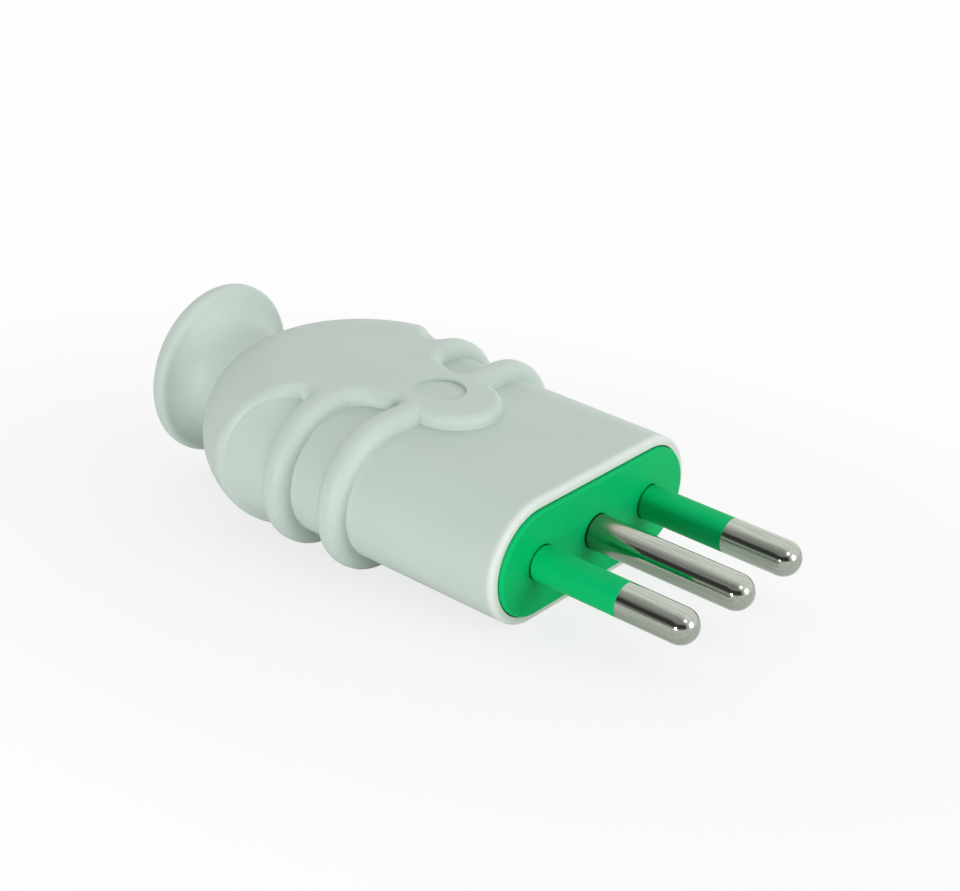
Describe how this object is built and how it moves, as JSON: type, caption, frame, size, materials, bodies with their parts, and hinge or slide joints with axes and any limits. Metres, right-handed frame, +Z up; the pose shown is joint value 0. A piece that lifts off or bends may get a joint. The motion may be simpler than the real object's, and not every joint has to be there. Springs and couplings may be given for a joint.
{
  "type": "grounded plug",
  "caption": "In-line rewirable mains plug with round pins in a row, an earth pin between sleeved pins, a ribbed grip shell and a flared cable entry.",
  "frame": {"origin": "centre of the plug's face, on the axis of the earth pin", "axes": "+X along the pins to their tips, +Y to the neutral pin, +Z up, out of the side of the grip with the dished boss"},
  "size_m": [0.0781, 0.0378, 0.021],
  "materials": {
    "shell_plastic": "satin moulded plastic, pale grey",
    "insert_plastic": "satin moulded plastic, green",
    "sleeve_plastic": "satin moulded plastic, green",
    "pin_metal": "polished nickel plating on brass",
    "screw_steel": "zinc plated",
    "clamp_plastic": "moulded plastic, pale grey"
  },
  "bodies": {
    "root": {"outer_shell": "shell_plastic", "pin_carrier": "insert_plastic", "earth_pin": "pin_metal", "line_pin": "pin_metal", "neutral_pin": "pin_metal", "line_pin_sleeve": "sleeve_plastic", "neutral_pin_sleeve": "sleeve_plastic", "terminal_screws": "screw_steel", "cord_clamp": "clamp_plastic", "cord_clamp_screws": "screw_steel", "carrier_fixing_screw": "screw_steel"}
  },
  "joints": []
}
